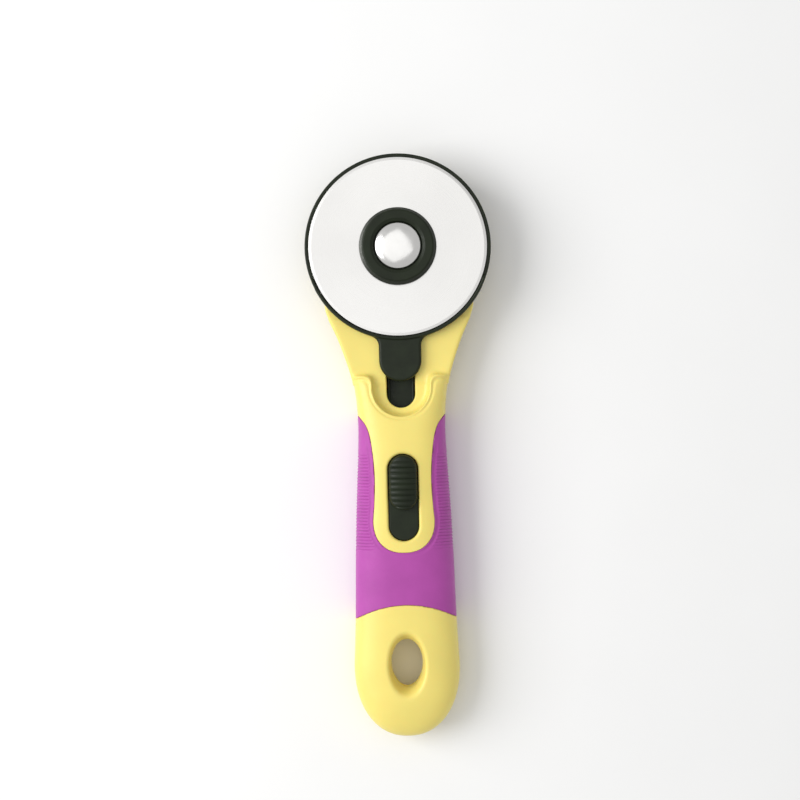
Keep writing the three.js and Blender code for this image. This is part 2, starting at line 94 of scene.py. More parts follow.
# A top, bottom, start or apex is a place along s, a half is half a width, and a power says how square
# a round is: 2 is an ellipse, and more is squarer.
TAIL_START = 141.6
SLOPE_START = 149
HEAD_ROUND = SimpleNamespace(start=14, length=33, half=24.9, power=2)
TAIL_ROUND = SimpleNamespace(start=TAIL_START, length=TAIL_END - TAIL_START, half=17.95, power=2.2)
TAIL_SLOPE = SimpleNamespace(start=SLOPE_START, length=TAIL_END - SLOPE_START, power=2.4)
REAR_POWER = 2.8
DEEP_TOP = 24  # the full-depth handle starts here, and only the thin head plate lies above it
PLATE_TOP = 14.5
PLATE_BOSS_R = 8
WALL = 3.2
ROOM = SimpleNamespace(top=33.5, bottom=161, neck=47)
SHOULDER_S = 42
RECESS = SimpleNamespace(half=9, bottom=56.2, wall=1.8, floor=1.2)
SLOT = SimpleNamespace(half=4.8, top=35.7, bottom=54.2, round_from=45)
WINDOW = SimpleNamespace(half=5.1, top=69.7, bottom=98.9)
TRACK_POCKET = SimpleNamespace(half=6.5, gap=0.3, z=16.7)
BAR_ROOM = SimpleNamespace(half=4.8, bottom=60, z=8)
SPRING_BED = SimpleNamespace(half=4.5, z=7.2)
HOLE = SimpleNamespace(s=141, throat=(5.3, 8.1), rim=(6.3, 10.7), flare=8, wall=2)
PANEL = SimpleNamespace(top=55.5, round_from=92, bottom=102.8, power=2.3)
GRIP_T = 1.5
GRIP_GAP = 0.02
GRIP_TOP = 56.6
GRIP_ARC = SimpleNamespace(apex=120.4, radius=30.9)
RIBS = SimpleNamespace(top=70, bottom=102, pitch=1.06, depth=0.45)

CASE_SCREW = SimpleNamespace(post_r=3.4, front_bore=1.45, rear_bore=1.4, sink_r=2.85, sink=1.9, head=1.5)
BAR_SCREW_R = 1.1
WASHER_SEAT = SimpleNamespace(r=9.6, z=11.6)
KEYHOLE = SimpleNamespace(r=4.05, flat=3.3)
NUT_ROOM_R = 29.5
PIVOT_THREAD = SimpleNamespace(bolt_r=2.85, insert_r=3.2, pitch=1)

FIT = 0.3  # room between a moving piece and the next
TONGUE = SimpleNamespace(half=7, top=10)
BUTTON_STEM = SimpleNamespace(half=1.6, top=71.2, bottom=76.9, z=13.3)
BUTTON_KEY = SimpleNamespace(half=1.3, top=72.2, bottom=75.9, z=14)
BUTTON_RIBS = SimpleNamespace(top=72.3, bottom=87.6, pitch=1.85, depth=0.42)

NUDGE = 0.05  # how far apart the two places are that give a slope


def through(points):
    """A smooth curve through a few (s, value) points."""
    at, value = np.array(points, float).T
    low = np.maximum(np.arange(len(at)) - 1, 0)
    high = np.minimum(np.arange(len(at)) + 1, len(at) - 1)
    slope = (value[high] - value[low]) / (at[high] - at[low])

    def curve(s):
        s = np.clip(s, at[0], at[-1])
        k = np.clip(np.searchsorted(at, s, "right") - 1, 0, len(at) - 2)
        step = at[k + 1] - at[k]
        t = (s - at[k]) / step
        rest = 1 - t
        ends = value[k] * (1 + 2 * t) * rest**2 + value[k + 1] * t**2 * (3 - 2 * t)
        return ends + step * t * rest * (slope[k] * rest - slope[k + 1] * t)

    return curve


side_line = through([
    (14, 24.9), (18, 25.2), (22, 24.6), (30, 21.1), (36, 18.9), (43, 16.7), (50, 15.4),
    (57, 14.9), (65, 14.9), (78, 15.6), (90, 16.2), (105, 16.7), (125, 17.2), (141.6, 17.95)])
front_line = through([
    (24, 17.4), (43.5, 17.6), (50, 18.1), (60, 18.8), (75, 19.2), (100, 19), (125, 18), (149, 16.9)])
rear_line = through([(24, 8.4), (30, 7.4), (36, 5), (44, 1.6), (52, -0.5), (60, -0.8), (149, -0.8)])
front_power = through([(30, 5), (43, 4.5), (60, 3), (80, 2.5), (165, 2.4)])
panel_line = through([
    (PANEL.top, 15.8), (57.5, 13.9), (60, 12.1), (63, 11), (67, 10.3), (74, 9.6), (80, 9.5), (86, 9.8),
    (PANEL.round_from, 10.3)])

# ---------------------------------------------------------------- distance tools


def soft_min(a, b, k):
    """The joined shape, with a fillet in its corner; k is a little more than the fillet's radius."""
    blend = np.maximum(k - np.abs(a - b), 0) / k
    return np.minimum(a, b) - blend**2 * k / 4


def soft_max(a, b, k):
    return -soft_min(-a, -b, k)


def cut(body, tool, k):
    """The body without the tool, its new edges rounded by k."""
    return soft_max(body, -tool, k)


def slab(v, low, high):
    """The room between two flat faces."""
    return np.maximum(low - v, v - high)


def stadium(x, s, half, s0, s1):
    """A slot's outline from s0 to s1, with round ends."""
    return np.hypot(x, s - np.clip(s, s0 + half, s1 - half)) - half


def rod(x, s, r, cx=0, cs=0):
    """A round bar along z."""
    return np.hypot(x - cx, s - cs) - r


def smooth_step(v, low, high):
    t = np.clip((v - low) / (high - low), 0, 1)
    return t * t * (3 - 2 * t)


def ridge(phase):
    """Rounded ridges with sharp valleys: 1 on a ridge's crest, 0 in a valley."""
    return np.sqrt(np.abs(np.sin(np.pi * phase)) + 1e-3)


def thread(x, s, z, pitch):
    """Saw-tooth height, 0 to 1, of a right-hand screw thread about the axis at the origin."""
    turn = np.arctan2(s, x) / (2 * np.pi)
    return 2 * np.abs((z / pitch + turn) % 1 - 0.5)


# ---------------------------------------------------------------- the handle's body


def round_end(distance, end):
    """What is left of a width, 1 to 0, at a distance into a rounded end."""
    share = np.clip(distance / end.length, 0, 1)
    return (1 - share**end.power) ** (1 / end.power)


def half_width(s):
    head = HEAD_ROUND.half * round_end(HEAD_ROUND.start - s, HEAD_ROUND)
    tail = TAIL_ROUND.half * round_end(s - TAIL_ROUND.start, TAIL_ROUND)
    middle = np.where(s > TAIL_ROUND.start, tail, side_line(s))
    return np.where(s < HEAD_ROUND.start, head, middle)


def section_ratio(x, s, z):
    """1 on the handle's rounded surface and less inside, with its slopes along x and z."""
    tail = round_end(s - TAIL_SLOPE.start, TAIL_SLOPE)
    tiny = 0.05
    w = np.maximum(half_width(s), tiny)
    front = z > SEAM_Z
    up = np.maximum((front_line(s) - SEAM_Z) * tail, tiny)
    down = np.maximum((SEAM_Z - rear_line(s)) * tail, tiny)
    h = np.where(front, up, down)
    n = np.where(front, front_power(s), REAR_POWER)
    across = np.abs(x) / w
    deep = np.abs(z - SEAM_Z) / h
    r = np.maximum(across**n + deep**n, 1e-9) ** (1 / n)
    slope_x = (across / r) ** (n - 1) / w
    slope_z = (deep / r) ** (n - 1) / h
    return r, slope_x, slope_z


def handle(x, s, z):
    r, slope_x, slope_z = section_ratio(x, s, z)
    slope_s = (section_ratio(x, s + NUDGE, z)[0] - r) / NUDGE
    return (r - 1) / np.sqrt(slope_x**2 + slope_z**2 + slope_s**2)


def tail_hole(x, s, z, grow=0):
    """The hanging hole: an oval that widens towards both faces."""
    def level(x, s, z):
        depth = np.minimum(front_line(HOLE.s) - z, z)
        t = np.clip(depth / HOLE.flare, 0, 1)
        share = (1 - t) ** 2 + np.clip(-depth / HOLE.flare, 0, 1)
        a, b = (HOLE.throat[i] + (HOLE.rim[i] - HOLE.throat[i]) * share + grow for i in (0, 1))
        ratio = np.sqrt((x / a) ** 2 + ((s - HOLE.s) / b) ** 2)
        return (ratio - 1) * np.minimum(a, b)

    here = level(x, s, z)
    slope_x = (level(x + NUDGE, s, z) - here) / NUDGE
    slope_s = (level(x, s + NUDGE, z) - here) / NUDGE
    slope_z = (level(x, s, z + NUDGE) - here) / NUDGE
    return here / np.sqrt(slope_x**2 + slope_s**2 + slope_z**2 + 1e-6)


def panel_edge(x, s):
    """Distance from the edge of the yellow panel between the grip's arms, negative on the panel."""
    def ratio(x, s):
        over = np.maximum(s - PANEL.round_from, 0) / (PANEL.bottom - PANEL.round_from)
        return ((np.abs(x) / panel_line(s)) ** PANEL.power + over**PANEL.power) ** (1 / PANEL.power)

    here = ratio(x, s)
    slope_x = (ratio(np.abs(x) + NUDGE, s) - here) / NUDGE
    slope_s = (ratio(x, s + NUDGE) - here) / NUDGE
    return (here - 1) / np.sqrt(slope_x**2 + slope_s**2)


def grip_band(x, s):
    """Distance from the ends of the band that the soft grip covers, negative on the band."""
    arc = GRIP_ARC.radius - np.hypot(x, s - GRIP_ARC.apex - GRIP_ARC.radius)
    return np.maximum(GRIP_TOP - s, arc)


def keyed_hole(x, s):
    """The pivot bolt's hole, round with two flats."""
    return soft_max(rod(x, s, KEYHOLE.r), np.abs(x) - KEYHOLE.flat, 0.2)


def case_screw_rods(x, s, r):
    return np.minimum.reduce([rod(x, s, r, *screw.middle) for screw in CASE_SCREWS])


def hollow(body, x, s, z):
    """The room inside both shells, from the body's own distance."""
    inner = np.maximum(body + WALL, slab(s, ROOM.top, ROOM.bottom))
    neck = np.maximum(s - ROOM.neck, SEAM_Z - z)
    recess_wall = stadium(x, s, RECESS.half + RECESS.wall, 20, RECESS.bottom + RECESS.wall)
    recess_floor = np.maximum(recess_wall, PLATE_TOP - RECESS.floor - z)
    hole_wall = tail_hole(x, s, z, HOLE.wall)
    for solid in (neck, recess_floor, hole_wall, case_screw_rods(x, s, CASE_SCREW.post_r)):
        inner = cut(inner, solid, 0.6)
    return inner


def grip_pocket(body, x, s, z):
    """What the soft grip fills, a hair larger than the grip."""
    room = np.maximum(-(body + GRIP_T + 0.05), grip_band(x, s) - GRIP_GAP)
    panel = np.maximum(panel_edge(x, s) + GRIP_GAP, SEAM_Z - z)
    return np.maximum(room, -panel)


# ---------------------------------------------------------------- shells and grips


def raised_lip(body, x, s, z):
    """The handle's front with a soft bead along the recess and a crease beside it."""
    edge = recess_plan(x, s)
    bead = 0.3 * smooth_step(edge, -0.6, 0.4) * (1 - smooth_step(edge, 0.8, 1.5))
    crease = 0.28 * np.exp(-((edge - 1.8) / 0.45) ** 2)
    front = smooth_step(z, SEAM_Z + 4, SEAM_Z + 7)
    return body - (bead - crease) * front


def recess_plan(x, s):
    """Distance from the edge of the lower neck and its U-shaped recess, negative over them."""
    recess = stadium(x, s, RECESS.half, 10, RECESS.bottom)
    return soft_min(s - SHOULDER_S - 0.004 * x**2, recess, 3.4)


def head_plate(x, s, z):
    edge = np.abs(x) - half_width(s)
    slope = (half_width(s + NUDGE) - half_width(s)) / NUDGE
    plan = np.maximum(edge / np.sqrt(1 + np.minimum(slope**2, 400)), s - SHOULDER_S - 4)
    return soft_max(plan, slab(z, FRONT.z[0], PLATE_TOP), 0.9)


def front_shell(x, s, z):
    whole = handle(x, s, z)
    draft = 0.25 * np.maximum(z - PLATE_TOP, 0)
    above_neck = soft_max(recess_plan(x, s) - draft, PLATE_TOP - z, 1.6)
    body = cut(raised_lip(whole, x, s, z), above_neck, 1)
    body = soft_max(body, DEEP_TOP - s, 0.5)
    body = soft_min(body, head_plate(x, s, z), 0.9)
    boss = soft_max(rod(x, s, PLATE_BOSS_R), slab(z, PLATE_TOP - 1, BLADE.z[0] - FIT), 0.4)
    body = soft_min(body, boss, 0.8)
    body = soft_max(body, FRONT.z[0] - z, 0.35)
    slot = soft_min(stadium(x, s, SLOT.half, SLOT.top, SLOT.bottom),
                    np.maximum(slab(s, SLOT.top, SLOT.round_from), np.abs(x) - SLOT.half), 0.1)
    gap = TRACK_POCKET.gap
    track = np.maximum(stadium(x, s, TRACK_POCKET.half, TRACK.s[0] - gap, TRACK.s[1] + gap),
                       z - TRACK_POCKET.z)
    for tool, k in (
        (hollow(whole, x, s, z), 0.5),
        (grip_pocket(whole, x, s, z), 0.08),
        (tail_hole(x, s, z), 1.3),
        (slot, 0.55),
        (track, 0.2),
        (stadium(x, s, WINDOW.half, WINDOW.top, WINDOW.bottom), 1.1),
        (np.maximum(rod(x, s, WASHER_SEAT.r), z - WASHER_SEAT.z), 0.4),
        (keyed_hole(x, s), 0.3),
        (np.maximum(case_screw_rods(x, s, CASE_SCREW.front_bore), z - 12), 0.2),
    ):
        body = cut(body, tool, k)
    return body


def rear_shell(x, s, z):
    whole = handle(x, s, z)
    body = soft_max(soft_max(whole, DEEP_TOP - s, 0.5), z - REAR.z[1], 0.35)
    body = soft_max(body, REAR.z[0] - z, 0.6)
    bed = np.maximum(np.maximum(np.abs(x) - SPRING_BED.half, slab(s, *SPRING.s)), z - SPRING_BED.z)
    bar_room = np.maximum(np.maximum(np.abs(x) - BAR_ROOM.half, slab(s, SLOT.top, BAR_ROOM.bottom)),
                          BAR_ROOM.z - z)
    sinks = [np.maximum(rod(x, s, CASE_SCREW.sink_r, *screw.middle), z - screw.z[0] - CASE_SCREW.sink)
             for screw in CASE_SCREWS]
    for tool, k in (
        (rod(x, s, NUT_ROOM_R), 0.8),
        (cut(hollow(whole, x, s, z), bed, 0.4), 0.4),
        (grip_pocket(whole, x, s, z), 0.08),
        (tail_hole(x, s, z), 1.3),
        (bar_room, 0.2),
        (np.minimum.reduce(sinks), 0.5),
        (case_screw_rods(x, s, CASE_SCREW.rear_bore), 0.2),
    ):
        body = cut(body, tool, k)
    return body


def rib_strip(s, mask):
    """How deep the fine cross ribs cut, where the mask is 1."""
    begins = smooth_step(s, RIBS.top - 1, RIBS.top + 1)
    goes_on = 1 - smooth_step(s, RIBS.bottom - 1, RIBS.bottom + 1)
    return RIBS.depth * (1 - ridge((s - RIBS.top) / RIBS.pitch)) * begins * goes_on * mask


def front_grip(x, s, z):
    """The front soft grip: a shallow valley along the panel's edge, then the ribs."""
    whole = handle(x, s, z)
    edge = panel_edge(x, s)
    middle = smooth_step(s, 62, 70) * (1 - smooth_step(s, 98, 106))
    valley = 0.28 * middle * smooth_step(edge, 0.2, 0.8) * (1 - smooth_step(edge, 1.1, 2))
    mask = smooth_step(edge, 1.5, 2.2) * (1 - smooth_step(s, 97, 103) * (1 - smooth_step(edge, 2.5, 5)))
    outer = soft_max(whole + valley + rib_strip(s, mask), grip_band(x, s), 0.22)
    outer = cut(outer, edge, 0.22)
    outer = soft_max(outer, FRONT.z[0] - z, 0.3)
    return soft_max(outer, -(whole + GRIP_T), 0.1)


def rear_grip(x, s, z):
    whole = handle(x, s, z)
    mask = smooth_step(np.abs(x), half_width(s) - 4.6, half_width(s) - 3.6)
    outer = soft_max(whole + rib_strip(s, mask), grip_band(x, s), 0.22)
    outer = soft_max(outer, REAR.z[0] - z, 0.7)
    outer = soft_max(outer, z - REAR.z[1], 0.3)
    return soft_max(outer, -(whole + GRIP_T), 0.1)


# ---------------------------------------------------------------- guard, bar, track and button


def blade_guard(x, s, z):
    low, rim_top = GUARD.z
    disc_top = low + 1.8
    tongue_top = low + 2.6
    inner = BLADE.x[1] + 0.35
    pivot_half = 8.3
    r = np.hypot(x, s)
    tongue = stadium(x, s, TONGUE.half, TONGUE.top, GUARD.s[1])
    plan = soft_min(r - GUARD_R, tongue, 3)
    disc = soft_max(plan, slab(z, low, disc_top), 0.45)
    below_middle = np.degrees(np.arctan2(s, np.abs(x)))
    top = disc_top + (rim_top - disc_top) * smooth_step(below_middle, 18.5, 21.5)
    rim = soft_max(np.maximum(inner - r, r - GUARD_R), slab(z, low + 0.6, top), 0.45)
    raised = soft_max(np.maximum(plan, inner - r), slab(z, low + 0.6, tongue_top), 0.9)
    raised = np.maximum(raised, 14 - s)
    body = soft_min(soft_min(disc, rim, 0.2), raised, 0.5)
    body = cut(body, stadium(x, s, pivot_half, -pivot_half - TRAVEL, pivot_half), 0.35)
    screws = np.minimum(*(rod(x, s, BAR_SCREW_R, *screw.middle) for screw in GUARD_SCREWS))
    return cut(body, np.maximum(screws, z - disc_top), 0.2)


def slide_bar(x, s, z):
    """A flat bar with a raised post under the tongue and two detent notches in its back."""
    low, top = BAR.z
    half = BAR.x[1]
    bar_top = low + 2.8
    post_top, trough_bottom = 37, 64
    bar = soft_max(stadium(x, s, half, *BAR.s), slab(z, low, bar_top), 0.5)
    post = soft_max(stadium(x, s, half, 20, GUARD.s[1] - 0.3), slab(z, low, top), 0.5)
    body = soft_min(bar, np.maximum(post, post_top - s), 0.5)
    trough = np.maximum(stadium(x, s, 3.7, GUARD.s[1] - 4, trough_bottom), low + 0.9 - z)
    body = cut(body, trough, 0.5)
    detent_s = sum(SPRING.s) / 2
    for notch_s in (detent_s, detent_s - TRAVEL):
        notch = np.maximum(np.abs(s - notch_s) - 1.7 + 0.9 * (z - low), np.abs(x) - 3.3)
        body = cut(body, np.maximum(notch, z - low - 0.95), 0.2)
    key = np.maximum(slab(s, BUTTON_KEY.top - FIT, BUTTON_KEY.bottom + FIT),
                     np.abs(x) - BUTTON_KEY.half - FIT)
    body = cut(body, np.maximum(key, low + 1.3 - z), 0.2)
    screws = [np.minimum(rod(x, s, BAR_SCREW_R, *screw.middle),
                         np.maximum(rod(x, s, 1.9, *screw.middle), z - low - 1.2))
              for screw in GUARD_SCREWS]
    return cut(body, np.minimum(*screws), 0.15)


def slider_track(x, s, z):
    low, top = TRACK.z
    gap = 0.15
    outline = stadium(x, s, WINDOW.half - gap, WINDOW.top + gap, WINDOW.bottom - gap)
    plate = soft_max(outline, slab(z, low, top), 0.5)
    flange = soft_max(stadium(x, s, TRACK.x[1], *TRACK.s), slab(z, low, low + 1), 0.3)
    slot = np.maximum(slab(s, BUTTON_STEM.top - FIT, BUTTON_STEM.bottom + TRAVEL + FIT),
                      np.abs(x) - BUTTON_STEM.half - FIT)
    return cut(soft_min(plate, flange, 0.3), slot, 0.4)


def thumb_button(x, s, z):
    """A saddle-backed button: round from side to side, ribbed across, with a smooth top end."""
    top = BUTTON.z[1]
    base = TRACK.z[1] + FIT
    half = BUTTON.x[1]
    radius = 8.6
    ribbed = smooth_step(s, BUTTON_RIBS.top - 0.5, BUTTON_RIBS.top + 0.3) * (
        1 - smooth_step(s, BUTTON_RIBS.bottom - 0.2, BUTTON_RIBS.bottom + 0.3))
    groove = BUTTON_RIBS.depth * (1 - ridge((s - BUTTON_RIBS.top) / BUTTON_RIBS.pitch)) * ribbed
    middle = (BUTTON.s[0] + BUTTON.s[1]) / 2
    sag = 0.0035 * (s - middle) ** 2 * (s < middle)
    crown = np.hypot(x, z - top + radius) - radius + groove + sag
    plan = stadium(x, s, half, *BUTTON.s)
    cap = soft_max(soft_max(plan, crown, 1.1), base - z, 0.2)
    stem, key = (np.maximum(np.maximum(slab(s, peg.top, peg.bottom), np.abs(x) - peg.half), depth)
                 for peg, depth in ((BUTTON_STEM, slab(z, BUTTON_STEM.z, base + 1)),
                                    (BUTTON_KEY, slab(z, BUTTON.z[0], BUTTON_KEY.z))))
    return soft_min(cap, soft_min(stem, key, 0.2), 0.3)


# ---------------------------------------------------------------- nut, insert and screws


def tension_nut(x, s, z):
    """A hand nut with rounded lobes, each finely fluted, and a dish in its outer face."""
    low, high = NUT.z
    lobes, flutes = 8, 96
    depth = 1
    mean = NUT.x[1] - depth
    r = np.hypot(x, s)
    angle = np.arctan2(s, x)
    wavy = mean + depth * np.cos(lobes * angle)
    plan = (r - wavy) / np.sqrt(1 + (depth * lobes * np.sin(lobes * angle) / np.maximum(r, 1)) ** 2)
    fluting = 0.18 * (1 - ridge(angle * flutes / (2 * np.pi))) * smooth_step(r, mean - 1.5, mean)
    body = soft_max(plan + fluting, slab(z, low, high), 1.5)
    dish = np.maximum(slab(r, 5.4, 8.9), z - low - 0.7)
    hexagon = hex_plan(x, s, INSERT.x[1] + 0.25)
    for tool, k in (
        (dish, 0.5),
        (np.maximum(hexagon, INSERT.z[0] - 0.3 - z), 0.2),
        (rod(x, s, 4.2), 0.5),
    ):
        body = cut(body, tool, k)
    return body


def hex_plan(x, s, across):
    """Distance from a hexagon with its flats facing along x, by half its width across flats."""
    return np.maximum.reduce([
        np.abs(x * math.cos(a) + s * math.sin(a)) for a in (0, math.pi / 3, 2 * math.pi / 3)]) - across


def nut_insert(x, s, z):
    low, high = INSERT.z
    body = soft_max(hex_plan(x, s, INSERT.x[1]), slab(z, low, high), 0.25)
    chamfer = (np.hypot(x, s) + np.abs(z - (low + high) / 2) - INSERT.x[1] * 1.28 - 0.4) * math.sqrt(0.5)
    body = soft_max(body, chamfer, 0.1)
    bore = PIVOT_THREAD.insert_r + 0.3 * thread(x, s, z, PIVOT_THREAD.pitch)
    return cut(body, np.hypot(x, s) - bore, 0.1)


def screw_field(head_r, head_low, head_high, shank_r, tip, cross_depth):
    """A pan-head screw about the origin, its cross recess below and its thread pointing up."""
    dome_r = 3.6
    pitch = 0.9
    arm_half, arm = 0.32, head_r * 0.62

    def field(x, s, z):
        r = np.hypot(x, s)
        dome = np.hypot(r, z - head_low - dome_r) - dome_r
        head = soft_max(soft_max(r - head_r, slab(z, head_low, head_high), 0.45), dome, 0.3)
        tapered = shank_r * np.clip((tip - z) / 1.5, 0.2, 1)
        shank = np.maximum(r - tapered + 0.22 * thread(x, s, z, pitch) - 0.2, slab(z, head_high - 0.2, tip))
        cross = np.minimum(np.maximum(np.abs(x) - arm_half, np.abs(s) - arm),
                           np.maximum(np.abs(s) - arm_half, np.abs(x) - arm))
        recess = np.maximum(cross + 0.25 * (z - head_low), z - head_low - cross_depth)
        return cut(soft_min(head, shank, 0.2), recess, 0.12)

    return field


# ---------------------------------------------------------------- meshing the fields


def cell_points(values, axes, cells):
    """One point for each cell that the surface crosses: the mean of where it crosses the edges."""
    corners = [(a, b, c) for a in (0, 1) for b in (0, 1) for c in (0, 1)]
    value = [values[tuple((cells + corner).T)] for corner in corners]
    place = [np.stack([axes[i][cells[:, i] + corner[i]] for i in range(3)], 1) for corner in corners]
    total = np.zeros((len(cells), 3))
    count = np.zeros(len(cells))
    for p, first in enumerate(corners):
        for q, second in enumerate(corners):
            if q <= p or sum(abs(a - b) for a, b in zip(first, second)) != 1:
                continue
            crosses = (value[p] < 0) != (value[q] < 0)
            share = np.where(crosses, value[p] / np.where(crosses, value[p] - value[q], 1), 0)
            point = place[p] + share[:, None] * (place[q] - place[p])
            total += point * crosses[:, None]
            count += crosses
    return total / count[:, None]


def edge_quads(inside, ids, drop_last):
    """A quad round each grid edge along the first axis whose two ends differ."""
    low, high = inside[:-1, 1:-1, 1:-1], inside[1:, 1:-1, 1:-1]
    if drop_last:
        low, high = low[:-1], high[:-1]
    a, b, c = np.nonzero(low != high)
    out = low[a, b, c]
    quad = np.stack([ids[a, b, c], ids[a, b + 1, c], ids[a, b + 1, c + 1], ids[a, b, c + 1]], 1)
    return np.where(out[:, None], quad[:, ::-1], quad)


def surface_net(field, axes, polar=False):
    """Points and quads of a field's zero surface. A polar grid's axes are radius, angle and z."""
    if polar:
        angle = axes[1]
        axes = (axes[0], np.concatenate([angle, angle[:2] + 2 * np.pi]), axes[2])
    grid = np.meshgrid(*axes, indexing="ij", sparse=True)
    values = np.broadcast_to(field(*to_space(grid, polar)), [len(axis) for axis in axes])
    inside = values < 0
    full = sum(inside[a:a - 1 or None, b:b - 1 or None, c:c - 1 or None].astype(np.uint8)
               for a in (0, 1) for b in (0, 1) for c in (0, 1))
    active = (full > 0) & (full < 8)
    if polar:
        active[:, -1] = False
    cells = np.argwhere(active)
    ids = np.full(active.shape, -1)
    ids[tuple(cells.T)] = np.arange(len(cells))
    if polar:
        ids[:, -1] = ids[:, 0]
    quads = []
    for axis in range(3):
        order = [(axis + i) % 3 for i in range(3)]
        quads.append(edge_quads(inside.transpose(order), ids.transpose(order), polar and axis == 1))
    points = np.stack(to_space(cell_points(values, axes, cells).T, polar), 1)
    return points, np.concatenate(quads)


def to_space(coordinates, polar):
    """Grid coordinates as x, s and z."""
    if not polar:
        return tuple(coordinates)
    radius, angle, z = coordinates
    return radius * np.cos(angle), radius * np.sin(angle), z


def slopes(field, points):
    """The field's slopes along x, s and z at each point."""
    step = 0.02
    columns = [field(*(points + shift).T) - field(*(points - shift).T) for shift in step * np.eye(3)]
    return np.stack(columns, 1) / (2 * step)


def snap(field, points, reach):
    """Moves points onto the surface, each no further than reach, and gives the normals there."""
    start = points.copy()
    for _ in range(4):
        slope = slopes(field, points)
        size = np.maximum((slope**2).sum(1), 0.05)
        points = points - (field(*points.T) / size)[:, None] * slope
        points = start + np.clip(points - start, -reach, reach)
    slope = slopes(field, points)
    return points, slope / np.maximum(np.linalg.norm(slope, axis=1), 1e-6)[:, None]


def even(low, high, step):
    """Evenly spaced grid places that reach past both ends."""
    count = int(math.ceil((high - low) / step)) + 4
    return (low + high) / 2 + (np.arange(count) - (count - 1) / 2) * step


def graded(*stretches):
    """Grid places at a different spacing in each (start, end, step) stretch."""
    parts = [np.linspace(a, b, max(int(round((b - a) / step)), 1), endpoint=False)
             for a, b, step in stretches]
    return np.concatenate([*parts, [stretches[-1][1]]])


def round_angles(count):
    return np.linspace(0, 2 * np.pi, count, endpoint=False)


def make_object(name, points, faces, normals=None):
    """An object in the frame's metres from points in millimetres."""
    mesh = bpy.data.meshes.new(name)
    world = np.stack([points[:, 0], BLADE_Y - points[:, 1], points[:, 2]], 1) * MM
    mesh.from_pydata(world, [], faces)
    mesh.validate()
    mesh.shade_smooth()
    if normals is not None:
        mesh.normals_split_custom_set_from_vertices(normals * (1, -1, 1))
    piece = bpy.data.objects.new(name, mesh)
    bpy.context.scene.collection.objects.link(piece)
    return piece


def from_field(name, field, axes, polar=False):
    """The object whose surface is the field's zero surface on a grid."""
    points, quads = surface_net(field, axes, polar)
    reach = 0.6 * max(np.diff(axis).max() for i, axis in enumerate(axes) if not (polar and i == 1))
    points, normals = snap(field, points, reach)
    return make_object(name, points, quads, normals)


# ---------------------------------------------------------------- turned pieces


def rounded(corners, steps=5):
    """A profile of (radius, z, corner radius) with each corner rounded and its flats kept flat."""
    count = len(corners)
    places = np.array([corner[:2] for corner in corners], float)
    profile = []
    for i, (_, _, radius) in enumerate(corners):
        here = places[i]
        if radius == 0:
            profile.append(here)
            continue
        before = places[i - 1] - here
        after = places[(i + 1) % count] - here
        before /= np.linalg.norm(before)
        after /= np.linalg.norm(after)
        half = math.acos(np.clip(before @ after, -1, 1)) / 2
        reach = radius / math.tan(half)
        middle = (before + after) / np.linalg.norm(before + after)
        centre = here + middle * radius / math.sin(half)
        start, end = here + before * reach - centre, here + after * reach - centre
        profile.append(here + before * (reach + 0.03))
        sweep = math.pi - 2 * half
        for t in np.linspace(0, 1, steps + 1):
            share = (math.sin((1 - t) * sweep) * start + math.sin(t * sweep) * end) / math.sin(sweep)
            profile.append(centre + share)
        profile.append(here + after * (reach + 0.03))
    return np.array(profile)


def lathe(name, profile, steps=192, bend=None):
    """A turned piece. A profile that starts and ends on the axis closes there, others on themselves."""
    on_axis = profile[0][0] == 0
    rings = profile[1:-1] if on_axis else profile
    angle = round_angles(steps)
    r, z = rings.T[:, :, None]
    points = np.stack([r * np.cos(angle), r * np.sin(angle), z + 0 * angle], 2)
    if bend:
        points = bend(points, angle)
    count = len(rings)
    i = np.arange(count - 1 if on_axis else count)[:, None]
    j = np.arange(steps)[None, :]
    k, up = (j + 1) % steps, (i + 1) % count
    quads = np.stack([i * steps + j, up * steps + j, up * steps + k, i * steps + k], 2).reshape(-1, 4)
    points = points.reshape(-1, 3)
    faces = quads.tolist()
    if on_axis:
        first = len(points)
        points = np.concatenate([points, [[0, 0, profile[0][1]], [0, 0, profile[-1][1]]]])
        top = (count - 1) * steps
        for a in range(steps):
            b = (a + 1) % steps
            faces += [[first, a, b], [first + 1, top + b, top + a]]
    return make_object(name, points, outward(points, faces))


def outward(points, faces):
    """The faces, turned so that the closed shape's volume is positive in the scene's own axes."""
    total = 0
    for face in faces:
        a, b, c = points[face[0]], points[face[1]], points[face[2]]
        total += a @ np.cross(b, c)
        if len(face) == 4:
            total += a @ np.cross(c, points[face[3]])
    return faces if total < 0 else [face[::-1] for face in faces]


def make_blade():
    """A flat disc ground from both faces to a thin edge."""
    low, high = BLADE.z
    r = BLADE.x[1]
    bevel = r - 0.95
    edge = (low + high) / 2
    bore = 4
    return lathe("ground_blade", rounded([
        (bore, low, 0.04), (bevel, low, 0.03), (r, edge, 0.008), (bevel, high, 0.03),
        (bore, high, 0.04)], 3), 512)


def make_collar():
    """A sloping ring on the blade with a pocket for the bolt's head."""
    low, high = COLLAR.z
    outer = COLLAR.x[1]
    bore, pocket = 4, 8.15
    seat = low + 1.4
    return lathe("blade_collar", rounded([
        (bore, low, 0.2), (outer, low, 0.15), (outer, low + 0.9, 0.35), (11.9, high, 0.75),
        (9.2, high, 0.3), (pocket, high - 0.7, 0.25), (pocket, seat, 0.2), (bore, seat, 0.2)]), 256)


